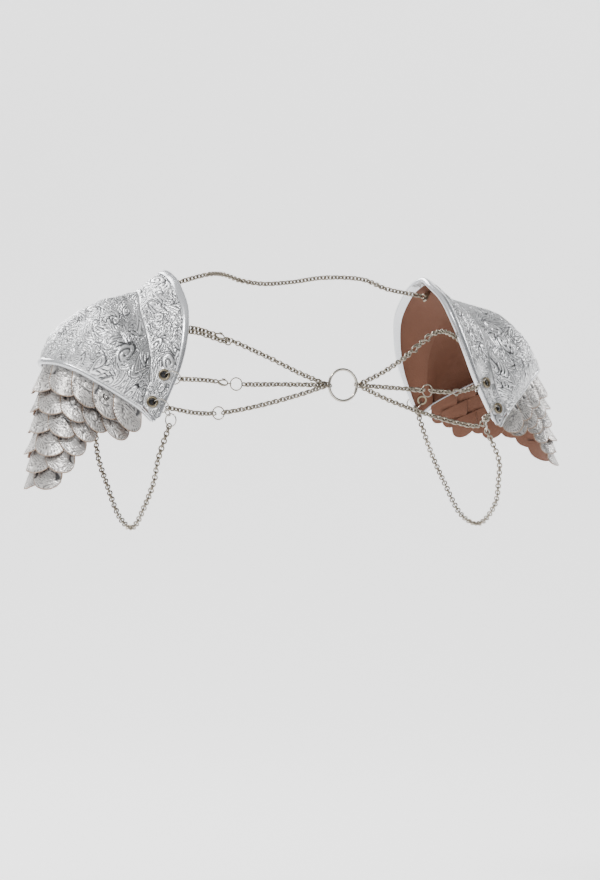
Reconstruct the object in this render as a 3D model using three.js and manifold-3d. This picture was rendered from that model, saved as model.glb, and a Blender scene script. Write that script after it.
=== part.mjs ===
// A pair of embossed leather shoulder pauldrons joined by nickel chains, as they sit when worn.
// Millimetres. +X is the wearer's left, -Y the front, +Z up. The origin lies midway between the
// shoulders, at the height where the two collars rest on them.
import * as THREE from 'three';
import { mergeVertices } from 'three/addons/utils/BufferGeometryUtils.js';
import Module from 'manifold-3d';

const wasm = await Module();
wasm.setup();

// Overall sizes of one pauldron, measured from the wearer's middle and from the collar's top
const collarOut = 131.7;    // middle of the wearer to the collar's highest point
const cornerReach = 42;     // how much further out the front and rear corners stand
const rimReach = 78.3;      // corners to the outermost point of the dome's lower rim
const halfDepth = 75;       // crown line to the front corner, and to the rear one
const rimLead = 11;         // the rim's outermost point lies this far forward of the crown line
const cornerDrop = 134;     // collar top down to the corners
const rimRise = 56;         // corners up to the rim's outermost point
const crownBack = 6;        // the crown line lies this far behind the shoulder line
const collarRise = 12;      // collar top above the shoulder seat

// Leather, clearances and trim
const wall = 2;
const gap = 0.3;
const bindingBand = 6.5;    // width of the folded binding on the collar's edge
const bindingLeg = 1.2;
const beadRadius = 2.2;     // round piping along the lower rim
const dartDepth = 3.2;      // pinched dart below the crown
const dartSpan = 30;

// Scales
const scalePitch = 20.5;    // width of one scale along its row
const scaleLength = 30;
const scaleWall = 1.2;
const rowGap = 1;           // leather of one row to the row that passes under it
const firstDrop = 26;       // rim bead to the tips of the first row
const rowPitch = 17.5;      // from the tips of one row to the next
const scallopDepth = 9;
// How many half scales each row reaches forward and back of the crown line
const scaleRows = [
  { front: 10, rear: 10 },
  { front: 9, rear: 9 },
  { front: 6, rear: 8 },
  { front: 5, rear: 5 },
  { front: 4, rear: 2 },
  { front: 3, rear: 1 },
];

// Metal
const grommetBore = 3.1;
const grommetBarrel = 0.6;
const grommetFlange = 5.2;
const grommetDome = 1.2;
const grommetInset = 0.7;   // leather between the binding and a grommet
const washerRadius = 4.6;
const washerWall = 0.7;
const jumpRingOuter = 7.4;
const jumpRingWire = 0.6;   // radius
const jumpRingTilt = 54;    // degrees that a jump ring stands off the leather
const oRingOuter = 15;
const oRingWire = 1.25;     // radius
const linkRingOuter = 4.2;
const linkRingWire = 0.6;
const linkRingTilt = 40;
const smallRingOuter = 3.8;
const largeRingOuter = 6;
const underRingWire = 0.55;
const chainRadius = 1.6;
const chainSides = 8;
const chainStep = 16;       // length of one step along a chain's tube
const hangerWidth = 9;
const hangerLength = 10;
const hangerWall = 1.5;
const hangerBore = 2.2;
const hangerSeat = 0.95;    // a hanger's flat end to the hollow leather above it

// The left pauldron of the worn pair dips forward, and its flap is lifted and leans further out.
// dip is in degrees, flare is the flap's outward lean per length
const sides = [
  { name: 'right', sign: -1, drop: 0, dip: 0, flapLift: 0, flare: 0.11 },
  { name: 'left', sign: 1, drop: -1, dip: 4, flapLift: 20, flare: 0.2 },
];

// The round O-ring in the middle of the chest
const chestRing = new THREE.Vector3(0, -80, -88);

// Route points of the chains between their ends, chosen by hand from the photograph's course
const chestRoutes = {
  right: {
    upper: [[-112, -60, -46], [-70, -75, -65], [-43, -80, -78]],
    middle: [[-129, -73, -85], [-103, -77, -88], [-60, -80, -88]],
    lower: [[-140, -75, -113], [-120, -77, -113], [-89, -79, -108], [-48, -81, -98]],
  },
  left: {
    upper: [[108, -60, -39], [61, -77, -65], [39, -80, -77]],
    middle: [[118, -74, -93], [87, -78, -92], [50, -80, -90]],
    lower: [[142, -75, -123], [121, -77, -121], [82, -79, -112], [46, -81, -101]],
  },
};
const underarmRoutes = {
  right: [[-169, -60, -153], [-169, -52, -171], [-170, -37, -191], [-171, -12, -212], [-172, 12, -204],
    [-173, 38, -175], [-172, 62, -145]],
  left: [[172, -62, -155], [174, -58, -172], [178, -46, -194], [178, -18, -213], [176, 10, -206],
    [174, 38, -176], [173, 62, -146]],
};
const backRoute = [[-108, 31, 4], [-80, 28, 12], [-52, 50, 14], [-26, 66, 10], [0, 71, 8],
  [26, 66, 10], [52, 50, 14], [80, 28, 12], [108, 31, 4]];

// Stations from the crown line to the front corner. neckOut, neckFwd and neckDrop are shares of
// cornerReach, halfDepth and cornerDrop; rimOut, rimFwd and rimFall of rimReach, halfDepth and
// rimRise; lift scales the dome's fullness and seam is the collar's share of the section.
const stations = [
  { neckOut: 0.000, neckFwd: 0.000, neckDrop: 0.000, rimOut: 1.000, rimFwd: 0.000, rimFall: 0.00, lift: 1.00, seam: 0.24 },
  { neckOut: -0.030, neckFwd: 0.200, neckDrop: 0.037, rimOut: 0.990, rimFwd: 0.070, rimFall: 0.01, lift: 1.00, seam: 0.27 },
  { neckOut: 0.017, neckFwd: 0.453, neckDrop: 0.119, rimOut: 0.920, rimFwd: 0.250, rimFall: 0.04, lift: 1.05, seam: 0.33 },
  { neckOut: 0.070, neckFwd: 0.707, neckDrop: 0.276, rimOut: 0.740, rimFwd: 0.440, rimFall: 0.17, lift: 1.15, seam: 0.38 },
  { neckOut: 0.220, neckFwd: 0.845, neckDrop: 0.463, rimOut: 0.535, rimFwd: 0.610, rimFall: 0.37, lift: 1.22, seam: 0.42 },
  { neckOut: 0.410, neckFwd: 0.907, neckDrop: 0.638, rimOut: 0.340, rimFwd: 0.760, rimFall: 0.57, lift: 1.20, seam: 0.52 },
  { neckOut: 0.660, neckFwd: 0.935, neckDrop: 0.800, rimOut: 0.150, rimFwd: 0.890, rimFall: 0.79, lift: 1.00, seam: 0.92 },
  { neckOut: 0.920, neckFwd: 0.955, neckDrop: 0.955, rimOut: 0.035, rimFwd: 0.972, rimFall: 0.96, lift: 0.60, seam: 0.92 },
];

// Section from the collar's edge to the rim: share along the chord and lift off it
const crownSection = [
  { along: 0.00, lift: 0.000 },
  { along: 0.10, lift: 0.014 },
  { along: 0.24, lift: 0.010 },
  { along: 0.38, lift: 0.058 },
  { along: 0.50, lift: 0.102 },
  { along: 0.62, lift: 0.124 },
  { along: 0.74, lift: 0.118 },
  { along: 0.85, lift: 0.088 },
  { along: 0.93, lift: 0.050 },
  { along: 1.00, lift: 0.000 },
];
const seamAlong = 0.24;     // where the section dips for the collar's seam
const seamMost = 0.9;       // the seam never comes nearer to the rim than this share

// How finely the surfaces are cut
const lengthSteps = 18;
const domeSteps = 6;
const grommetSides = 9;
const petalCuts = [-1, -0.72, 0, 0.72];

// Where the grommets sit: place along the collar's edge, 0 at the front corner and 1 at the rear
const grommetSpots = [
  { name: 'front_upper', t: 0.143, turn: -1 },
  { name: 'front_lower', t: 0.075, turn: -1 },
  { name: 'rear', t: 0.925, turn: 1 },
];

const up = new THREE.Vector3(0, 0, 1);

const finishes = {
  embossed: { color: 0xc3c6ca, roughness: 0.42, metalness: 0.55 },
  binding: { color: 0xd3d5d8, roughness: 0.3, metalness: 0.65 },
  scale: { color: 0xb9bcc0, roughness: 0.45, metalness: 0.5 },
  nickel: { color: 0xbdb4a8, roughness: 0.22, metalness: 1 },
};

function finish(name) {
  return new THREE.MeshStandardMaterial(finishes[name]);
}

// The two edge curves of one pauldron, front corner to rear corner through the crown
function edgeCurves() {
  const neckPoint = (row, way) => new THREE.Vector3(
    collarOut + row.neckOut * cornerReach,
    crownBack + way * row.neckFwd * halfDepth,
    collarRise - row.neckDrop * cornerDrop,
  );
  const rimPoint = (row, way) => new THREE.Vector3(
    collarOut + cornerReach + row.rimOut * rimReach,
    crownBack + way * row.rimFwd * halfDepth - rimLead * (1 - row.rimFwd),
    collarRise - cornerDrop + (1 - row.rimFall) * rimRise,
  );
  const ring = (place) => {
    const front = stations.slice().reverse().map((row) => place(row, -1));
    const rear = stations.slice(1).map((row) => place(row, 1));
    return front.concat(rear);
  };
  const traits = ring((row) => new THREE.Vector3(row.lift, row.seam, 0));
  return {
    neck: new THREE.CatmullRomCurve3(ring(neckPoint), false, 'centripetal'),
    rim: new THREE.CatmullRomCurve3(ring(rimPoint), false, 'centripetal'),
    traits: new THREE.CatmullRomCurve3(traits, false, 'centripetal'),
  };
}

const edges = edgeCurves();
const section = new THREE.SplineCurve(crownSection.map((row) => new THREE.Vector2(row.along, row.lift)));
// The section lifts away from this point inside the shoulder
const shoulder = new THREE.Vector3(
  collarOut + cornerReach - 0.08 * rimReach,
  crownBack + 0.26 * halfDepth,
  collarRise - 0.68 * cornerDrop,
);

// A point of the outer face: u runs from the collar's edge to the rim, t from front to rear
function shellPoint(u, t) {
  const from = edges.neck.getPoint(t);
  const chord = edges.rim.getPoint(t).sub(from);
  const fullness = edges.traits.getPoint(t).x;
  const seam = seamShare(t);
  const length = chord.length();
  const across = chord.clone().divideScalar(length);
  const away = from.clone().addScaledVector(chord, 0.5).sub(shoulder);
  away.addScaledVector(across, -away.dot(across)).normalize();
  const shape = u < seam ? u * seamAlong / seam : seamAlong + (u - seam) * (1 - seamAlong) / (1 - seam);
  const lift = liftAt(shape) * length * fullness;
  return from.addScaledVector(chord, u).addScaledVector(away, lift - dart(u, t));
}

// The section's lift at a share of its length
function liftAt(along) {
  let low = 0;
  let high = 1;
  for (let k = 0; k < 24; k += 1) {
    const mid = (low + high) / 2;
    if (section.getPoint(mid).x < along) low = mid;
    else high = mid;
  }
  return section.getPoint((low + high) / 2).y;
}

// The pinched dart: a hollow between the crown point and the rim, forward of the crown line
function dart(along, t) {
  const outward = (along - 0.78) * (rimReach + cornerReach) / dartSpan;
  const sideways = (t - 0.4) * 4 * halfDepth / dartSpan;
  return dartDepth * Math.exp(-(outward ** 2) * 2 - sideways ** 2);
}

// Outward normal and the two surface directions at (u, t)
function shellFrame(u, t) {
  const step = 0.004;
  const u0 = Math.max(0, u - step);
  const u1 = Math.min(1, u + step);
  const t0 = Math.max(0, t - step);
  const t1 = Math.min(1, t + step);
  const across = shellPoint(u1, t).sub(shellPoint(u0, t)).normalize();
  const along = shellPoint(u, t1).sub(shellPoint(u, t0)).normalize();
  const normal = new THREE.Vector3().crossVectors(across, along).normalize();
  return { point: shellPoint(u, t), across, along, normal };
}

// Turns positions and triangles into a closed geometry with its faces pointing out
function closedGeometry(points, faces) {
  let volume = 0;
  for (const [a, b, c] of faces) {
    volume += points[a].dot(new THREE.Vector3().crossVectors(points[b], points[c]));
  }
  const turned = volume < 0 ? faces.map(([a, b, c]) => [a, c, b]) : faces;
  const geometry = new THREE.BufferGeometry().setFromPoints(points);
  geometry.setIndex(turned.flat());
  return geometry;
}

// A wall between an outer and an inner grid of points, closed round its four edges
function wallSolid(outer, inner) {
  const rows = outer.length;
  const columns = outer[0].length;
  const points = [...outer.flat(), ...inner.flat()];
  const at = (side, i, j) => side * rows * columns + i * columns + j;
  const faces = [];
  const quad = (a, b, c, d) => faces.push([a, b, c], [a, c, d]);
  for (let i = 0; i < rows - 1; i += 1) {
    for (let j = 0; j < columns - 1; j += 1) {
      quad(at(0, i, j), at(0, i + 1, j), at(0, i + 1, j + 1), at(0, i, j + 1));
      quad(at(1, i, j + 1), at(1, i + 1, j + 1), at(1, i + 1, j), at(1, i, j));
    }
  }
  for (let i = 0; i < rows - 1; i += 1) {
    quad(at(0, i, 0), at(1, i, 0), at(1, i + 1, 0), at(0, i + 1, 0));
    quad(at(0, i, columns - 1), at(0, i + 1, columns - 1), at(1, i + 1, columns - 1), at(1, i, columns - 1));
  }
  for (let j = 0; j < columns - 1; j += 1) {
    quad(at(0, 0, j), at(0, 0, j + 1), at(1, 0, j + 1), at(1, 0, j));
    quad(at(0, rows - 1, j), at(1, rows - 1, j), at(1, rows - 1, j + 1), at(0, rows - 1, j + 1));
  }
  return closedGeometry(points, faces);
}

// A closed outline carried along frames, with flat ends
function sweptSolid(outlines) {
  const count = outlines[0].flat.length;
  const points = outlines.flatMap((outline) => outline.placed);
  const faces = [];
  for (let i = 0; i < outlines.length - 1; i += 1) {
    for (let j = 0; j < count; j += 1) {
      const a = i * count + j;
      const b = i * count + ((j + 1) % count);
      faces.push([a, b, b + count], [a, b + count, a + count]);
    }
  }
  const cap = THREE.ShapeUtils.triangulateShape(outlines[0].flat, []);
  const last = (outlines.length - 1) * count;
  for (const [a, b, c] of cap) {
    faces.push([a, c, b], [last + a, last + b, last + c]);
  }
  return closedGeometry(points, faces);
}

// One leather panel of the shell, cut across at the shares that sharesAt gives for each t
function panelGeometry(sharesAt) {
  const outer = [];
  const inner = [];
  for (let i = 0; i <= lengthSteps; i += 1) {
    const t = i / lengthSteps;
    const frames = sharesAt(t).map((share) => shellFrame(share, t));
    outer.push(frames.map(({ point }) => point));
    inner.push(frames.map(({ point, normal }) => point.clone().addScaledVector(normal, -wall)));
  }
  return wallSolid(outer, inner);
}

function seamShare(t) {
  return Math.min(seamMost, edges.traits.getPoint(t).y);
}

function sectionLength(t) {
  return edges.rim.getPoint(t).distanceTo(edges.neck.getPoint(t));
}

// Width of the folded binding along the collar's edge, narrower towards the corners
function bandWidth(t) {
  return bindingBand * (0.62 + 0.38 * Math.sin(Math.PI * t));
}

// Folded binding round the collar's edge: two legs that follow the leather and a rounded fold
// grow thickens it all round
function bindingGeometry(grow = 0) {
  const low = gap - grow;
  const top = gap + bindingLeg + grow;
  const outlines = [];
  for (let i = 0; i <= lengthSteps; i += 1) {
    const t = i / lengthSteps;
    const band = bandWidth(t) + grow;
    const edge = shellFrame(0, t);
    const inside = shellFrame(band / sectionLength(t), t);
    const flat = [
      [band, low], [band, top], [0, top], [-top, -wall / 2], [0, -wall - top],
      [band, -wall - top], [band, -wall - low], [-low, -wall - low], [-low, low],
    ].map(([x, y]) => new THREE.Vector2(x, y));
    const placed = flat.map((p) => {
      const frame = p.x > 0 ? inside : edge;
      const point = frame.point.clone().addScaledVector(frame.normal, p.y);
      return point.addScaledVector(frame.across, Math.min(p.x, 0));
    });
    outlines.push({ flat, placed });
  }
  return sweptSolid(outlines);
}

function circlePoints(radius, count) {
  return Array.from({ length: count }, (_, k) => {
    const angle = (k + 0.5) * 2 * Math.PI / count;
    return new THREE.Vector2(radius * Math.cos(angle), radius * Math.sin(angle));
  });
}

// Centre of the round piping that closes the rim, and the directions that it is drawn in
function beadFrame(t) {
  const { point, across, normal } = shellFrame(1, t);
  point.addScaledVector(across, gap + beadRadius).addScaledVector(normal, -wall / 2);
  return { point, across, normal };
}

function beadGeometry(radius = beadRadius) {
  const flat = circlePoints(radius, 8);
  const outlines = [];
  for (let i = 0; i <= lengthSteps; i += 1) {
    const { point, across, normal } = beadFrame(i / lengthSteps);
    const placed = flat.map((p) => point.clone().addScaledVector(across, p.x).addScaledVector(normal, p.y));
    outlines.push({ flat, placed });
  }
  return sweptSolid(outlines);
}

const bead = new THREE.CatmullRomCurve3(
  Array.from({ length: lengthSteps + 1 }, (_, i) => beadFrame(i / lengthSteps).point),
);
const beadLength = bead.getLength();

function tubeGeometry(curve, radius, count, steps) {
  return new THREE.ExtrudeGeometry(new THREE.Shape(circlePoints(radius, count)), { steps, extrudePath: curve });
}

// One scalloped row of scales. Every row springs from the same hanging surface under the bead
// and lifts off it as a parabola, so that the row below passes under it with the row gap.
function scaleRowGeometry(index, { flapLift, flare }) {
  const { front, rear } = scaleRows[index];
  const count = (front + rear) / 2;
  const tip = firstDrop + index * rowPitch;
  const top = index === 0 ? -1 : tip - scaleLength;
  const nextTop = tip + rowPitch - scaleLength;
  const length = tip - top;
  const lift = (scaleWall + rowGap) * (length / (nextTop - top)) ** 2;
  const shrink = 1 - flapLift / (firstDrop + (scaleRows.length - 1) * rowPitch);
  const inset = beadRadius + rowGap + scaleWall;
  const outer = [];
  const inner = [];
  for (let column = 0; column <= count * petalCuts.length; column += 1) {
    const cut = petalCuts[column % petalCuts.length];
    const petal = Math.floor(column / petalCuts.length);
    const place = (petal + (cut + 1) / 2 - front / 2) * scalePitch;
    const bottom = tip - scallopDepth * (1 - Math.sqrt(1 - cut * cut));
    const { start, outward } = hangingFrame(place);
    const innerRow = [0, 0.6, 1].map((part) => {
      const down = top + (bottom - top) * part;
      const off = flare * down - inset + lift * ((down - top) / length) ** 2;
      return start.clone().addScaledVector(outward, off).addScaledVector(up, -down * shrink);
    });
    inner.push(innerRow);
    outer.push(innerRow.map((point) => point.clone().addScaledVector(outward, scaleWall)));
  }
  return wallSolid(outer, inner);
}

// Where a scale hangs from: a place along the rim bead, counted from the crown line to the rear
function hangingFrame(place) {
  const share = 0.5 + place / beadLength;
  const start = bead.getPointAt(share);
  const outward = new THREE.Vector3().crossVectors(bead.getTangentAt(share), up).normalize();
  return { start, outward };
}

// A frame on the collar: origin on the outer face, x squarely towards the edge, z outwards
function grommetFrame(spot) {
  const { normal: edgeNormal, across: inward, along } = shellFrame(0, spot.t);
  const slant = new THREE.Vector3().crossVectors(inward, along).length();
  const fromEdge = bandWidth(spot.t) + grommetInset + grommetFlange;
  const share = fromEdge / (sectionLength(spot.t) * slant);
  const { point, normal } = shellFrame(share, spot.t);
  const towardEdge = new THREE.Vector3().crossVectors(along, edgeNormal);
  towardEdge.multiplyScalar(-Math.sign(towardEdge.dot(inward))).projectOnPlane(normal).normalize();
  const side = new THREE.Vector3().crossVectors(normal, towardEdge);
  return new THREE.Matrix4().makeBasis(towardEdge, side, normal).setPosition(point);
}

// Eyelet: domed flange, barrel through the leather and a washer behind it, turned as one piece
function grommetGeometry(spot) {
  const back = -wall - gap;
  const profile = [
    [grommetBore, back - washerWall], [washerRadius, back - washerWall], [washerRadius, back],
    [grommetBore + grommetBarrel, back], [grommetBore + grommetBarrel, gap], [grommetFlange, gap],
    [grommetFlange - 1, gap + grommetDome], [grommetBore, gap + 0.6 * grommetDome],
    [grommetBore, back - washerWall],
  ].map(([r, z]) => new THREE.Vector2(r, z));
  const geometry = new THREE.LatheGeometry(profile, grommetSides);
  geometry.rotateX(Math.PI / 2);
  return geometry.applyMatrix4(grommetFrame(spot));
}

// A ring is kept as its centre, the normal of its plane, its mean radius and its wire's radius
function jumpRing(spot) {
  const mean = jumpRingOuter - jumpRingWire;
  const tilt = THREE.MathUtils.degToRad(jumpRingTilt);
  // The wire leaves the grommet's lip here, counted from the ring's inmost point
  const lip = Math.asin((wall / 2 + gap + 0.6 * grommetDome) / (mean * Math.sin(tilt)));
  const sideways = mean * Math.sin(lip) * Math.cos(tilt);
  const room = grommetBore * Math.cos(Math.PI / grommetSides) - jumpRingWire - gap;
  const inmost = Math.sqrt(room ** 2 - sideways ** 2) - mean * (1 - Math.cos(lip));
  const frame = grommetFrame(spot);
  const normal = new THREE.Vector3(0, -Math.sin(tilt * spot.turn), Math.cos(tilt));
  return {
    centre: new THREE.Vector3(inmost + mean, 0, -wall / 2).applyMatrix4(frame),
    normal: normal.transformDirection(frame),
    mean,
    wire: jumpRingWire,
    outward: new THREE.Vector3(1, 0, 0).transformDirection(frame),
  };
}

// The next ring down: crossed to its parent and hanging in it, where lean sets how far the place
// moves from the lowest point towards the parent's outward side
function hungRing(parent, outer, wire, lean = 0) {
  const down = up.clone().negate();
  if (lean > 0) down.addScaledVector(parent.outward, lean);
  down.projectOnPlane(parent.normal).normalize();
  const mean = outer - wire;
  const reach = parent.mean - parent.wire - wire - gap + mean;
  return {
    centre: parent.centre.clone().addScaledVector(down, reach),
    normal: new THREE.Vector3().crossVectors(parent.normal, down).normalize(),
    mean,
    wire,
  };
}

function ringGeometry(ring, count = 10) {
  const geometry = new THREE.TorusGeometry(ring.mean, ring.wire, 5, count);
  const turn = new THREE.Quaternion().setFromUnitVectors(up, ring.normal);
  geometry.applyQuaternion(turn);
  return geometry.translate(ring.centre.x, ring.centre.y, ring.centre.z);
}

// Where a chain meets a ring: clear of its outer edge, on the side that faces the chain
function chainEnd(ring, toward) {
  const way = toward.clone().sub(ring.centre).projectOnPlane(ring.normal).normalize();
  return ring.centre.clone().addScaledVector(way, ring.mean + ring.wire + gap);
}

function solidOf(geometry) {
  const bare = geometry.clone();
  bare.deleteAttribute('normal');
  bare.deleteAttribute('uv');
  const merged = mergeVertices(bare, 1e-4);
  return new wasm.Manifold(new wasm.Mesh({
    numProp: 3,
    vertProperties: new Float32Array(merged.attributes.position.array),
    triVerts: new Uint32Array(merged.index.array),
  }));
}

function geometryOf(solid) {
  const mesh = solid.getMesh();
  const geometry = new THREE.BufferGeometry();
  geometry.setAttribute('position', new THREE.BufferAttribute(mesh.vertProperties, 3));
  geometry.setIndex(new THREE.BufferAttribute(mesh.triVerts, 1));
  return geometry;
}

// The collar panel, cut back from its trim, pressed flat round each grommet and holed for its barrel
function collarGeometry() {
  let solid = solidOf(panelGeometry((t) => {
    const bound = bandWidth(t) / sectionLength(t);
    const seam = seamShare(t);
    return [0, bound, (bound + seam) / 2, seam];
  }));
  for (const spot of grommetSpots) {
    const frame = grommetFrame(spot);
    const cutAway = (radius, low, high) => {
      const disc = new THREE.CylinderGeometry(radius, radius, high - low, grommetSides);
      disc.rotateX(Math.PI / 2).translate(0, 0, (low + high) / 2).applyMatrix4(frame);
      solid = solid.subtract(solidOf(disc));
    };
    cutAway(grommetBore + grommetBarrel + gap, -3 * wall, 2 * wall);
    cutAway(grommetFlange + gap, 0, 2 * wall);
    cutAway(washerRadius + gap, -3 * wall, -wall);
  }
  const clearance = 0.8 * gap;
  solid = solid.subtract(solidOf(bindingGeometry(clearance)));
  solid = solid.subtract(solidOf(beadGeometry(beadRadius + clearance)));
  const parts = solid.decompose().sort((a, b) => b.volume() - a.volume());
  return geometryOf(parts[0]);
}

function domeGeometry() {
  return panelGeometry((t) => {
    const start = seamShare(t) + gap / sectionLength(t);
    return Array.from({ length: domeSteps + 1 }, (_, j) => start + (1 - start) * j / domeSteps);
  });
}

// How one side stands: mirrored for the wearer's right, dipped about its collar top and dropped
function sideMatrix(side) {
  const toCollar = new THREE.Matrix4().makeTranslation(0, -crownBack, -collarRise);
  const dip = new THREE.Matrix4().makeRotationX(THREE.MathUtils.degToRad(side.dip));
  const back = new THREE.Matrix4().makeTranslation(0, crownBack, collarRise - side.drop);
  const mirror = new THREE.Matrix4().makeScale(side.sign, 1, 1);
  return back.multiply(dip).multiply(toCollar).multiply(mirror);
}

// Puts a geometry through a matrix, and turns its triangles round where the matrix mirrors it
function placed(geometry, matrix) {
  const bare = geometry.index ? geometry.toNonIndexed() : geometry.clone();
  bare.deleteAttribute('normal');
  bare.deleteAttribute('uv');
  const merged = mergeVertices(bare.applyMatrix4(matrix), 1e-4);
  if (matrix.determinant() < 0) {
    const index = Array.from(merged.index.array);
    merged.setIndex(index.map((_, k) => index[k - (k % 3) + ((3 - (k % 3)) % 3)]));
  }
  return merged;
}

// A ring carried through a side's matrix
function placedRing(ring, matrix) {
  return {
    ...ring,
    centre: ring.centre.clone().applyMatrix4(matrix),
    normal: ring.normal.clone().transformDirection(matrix),
    outward: ring.outward.clone().transformDirection(matrix),
  };
}

// A hidden hanger under the collar: a flat plate with one hole, on edge to the leather
const hangers = {
  strand: { u: 0.16, t: 0.25 },
  back: { u: 0.1, t: 0.56 },
};

function hangerFrame(hanger) {
  const { point, across, normal } = shellFrame(hanger.u, hanger.t);
  const inside = point.addScaledVector(normal, -wall - hangerSeat);
  const width = new THREE.Vector3().crossVectors(across, normal).normalize();
  return new THREE.Matrix4().makeBasis(width, normal.clone().negate(), across).setPosition(inside);
}

function hangerGeometry(hanger) {
  const plate = new THREE.Shape([
    new THREE.Vector2(-hangerWidth / 2, 0), new THREE.Vector2(hangerWidth / 2, 0),
    new THREE.Vector2(hangerWidth / 2, hangerLength * 0.6), new THREE.Vector2(hangerWidth / 4, hangerLength),
    new THREE.Vector2(-hangerWidth / 4, hangerLength), new THREE.Vector2(-hangerWidth / 2, hangerLength * 0.6),
  ]);
  const bore = new THREE.Path().absarc(0, hangerLength * 0.6, hangerBore, 0, 2 * Math.PI, true);
  plate.holes.push(bore);
  const geometry = new THREE.ExtrudeGeometry(plate, { depth: hangerWall, bevelEnabled: false, curveSegments: 3 });
  return geometry.applyMatrix4(hangerFrame(hanger));
}

// Where a chain meets a hanger: just off the plate's face, in front of its hole
function hangerEnd(hanger, matrix) {
  const end = new THREE.Vector3(0, hangerLength * 0.6, -gap);
  return end.applyMatrix4(hangerFrame(hanger)).applyMatrix4(matrix);
}

// Where the upper strand passes under the collar's edge, clear of the binding
function underEdge(matrix) {
  const { point, normal } = shellFrame(0, hangers.strand.t);
  const depth = wall + 3 * gap + bindingLeg + chainRadius;
  return point.addScaledVector(normal, -depth).applyMatrix4(matrix);
}

// A chain's tube through its route points
function chainGeometry(points) {
  const curve = new THREE.CatmullRomCurve3(points, false, 'centripetal');
  return tubeGeometry(curve, chainRadius, chainSides, Math.round(curve.getLength() / chainStep));
}

function routePoints(route) {
  return route.map(([x, y, z]) => new THREE.Vector3(x, y, z));
}

const harness = new THREE.Group();

function add(name, geometry, look) {
  const mesh = new THREE.Mesh(geometry, finish(look));
  mesh.name = name;
  harness.add(mesh);
}

function addPauldron(side) {
  const stand = sideMatrix(side);
  const put = (name, geometry, look) => add(`${side.name}_${name}`, placed(geometry, stand), look);
  put('collar_panel', collarGeometry(), 'embossed');
  put('dome_panel', domeGeometry(), 'embossed');
  put('neck_binding', bindingGeometry(), 'binding');
  put('rim_bead', beadGeometry(), 'binding');
  scaleRows.forEach((row, index) => {
    put(`scale_row_${index + 1}`, scaleRowGeometry(index, side), 'scale');
  });
  for (const spot of grommetSpots) {
    put(`grommet_${spot.name}`, grommetGeometry(spot), 'nickel');
    put(`ring_${spot.name}`, ringGeometry(jumpRing(spot)), 'nickel');
  }
  put('hanger_strand', hangerGeometry(hangers.strand), 'nickel');
  put('hanger_back', hangerGeometry(hangers.back), 'nickel');
}

// The small ring that joins one side's three strands to the O-ring
function linkRing(side) {
  const tilt = THREE.MathUtils.degToRad(linkRingTilt);
  const mean = linkRingOuter - linkRingWire;
  const reach = oRingOuter - 2 * oRingWire - gap - linkRingWire + mean;
  return {
    centre: chestRing.clone().add(new THREE.Vector3(side.sign * reach, 0, 0)),
    normal: new THREE.Vector3(0, -Math.sin(tilt), Math.cos(tilt)),
    mean,
    wire: linkRingWire,
  };
}

// The three strands of one side fan out from the link ring; fan spreads their ends apart there
function addChestStrands(side) {
  const stand = sideMatrix(side);
  const link = linkRing(side);
  const routes = chestRoutes[side.name];
  const fan = { upper: 1, middle: 0, lower: -1 };
  const starts = {
    upper: () => hangerEnd(hangers.strand, stand),
    middle: (next) => chainEnd(placedRing(jumpRing(grommetSpots[0]), stand), next),
    lower: (next) => chainEnd(placedRing(jumpRing(grommetSpots[1]), stand), next),
  };
  for (const [name, route] of Object.entries(routes)) {
    const middle = routePoints(route);
    if (name === 'upper') middle.unshift(underEdge(stand));
    const start = starts[name](middle[0]);
    const spread = new THREE.Vector3(side.sign * 30, -3, fan[name] * 40);
    const end = chainEnd(link, link.centre.clone().add(spread));
    end.x += side.sign * (fan[name] === 0 ? 0 : 1.2);
    end.z += fan[name] * 2.2;
    add(`${side.name}_strand_${name}`, chainGeometry([start, ...middle, end]), 'nickel');
  }
  add(`${side.name}_link_ring`, ringGeometry(link), 'nickel');
}

// The two rings under the lower front grommet, and the chain that passes under the arm to the rear
function addUnderarm(side) {
  const stand = sideMatrix(side);
  const jump = placedRing(jumpRing(grommetSpots[1]), stand);
  const small = hungRing(jump, smallRingOuter, underRingWire, 1.1);
  const large = hungRing(small, largeRingOuter, underRingWire);
  const rear = placedRing(jumpRing(grommetSpots[2]), stand);
  const middle = routePoints(underarmRoutes[side.name]);
  const points = [chainEnd(large, middle[0]), ...middle, chainEnd(rear, middle[middle.length - 1])];
  add(`${side.name}_underarm_small_ring`, ringGeometry(small), 'nickel');
  add(`${side.name}_underarm_large_ring`, ringGeometry(large), 'nickel');
  add(`${side.name}_underarm_chain`, chainGeometry(points), 'nickel');
}

for (const side of sides) {
  addPauldron(side);
  addChestStrands(side);
  addUnderarm(side);
}

const oRing = { centre: chestRing, normal: new THREE.Vector3(0, -1, 0), mean: oRingOuter - oRingWire, wire: oRingWire };
add('chest_o_ring', ringGeometry(oRing, 24), 'nickel');

const backEnds = sides.map((side) => hangerEnd(hangers.back, sideMatrix(side)));
add('back_chain', chainGeometry([backEnds[0], ...routePoints(backRoute), backEnds[1]]), 'nickel');

export default harness;
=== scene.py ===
# %% [markdown]
# # A pair of embossed leather pauldrons joined by chains
#
# The CAD frame gives the true shapes and places: two leather shells, rows of scales, eyelets, rings and
# tubes for the chains. This script gives each of them its finished surface. Every surface is worked out
# with numpy, as whole arrays: first in millimetres beside the wearer's left shoulder, then carried to
# its own side and turned into metres.

import math

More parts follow.
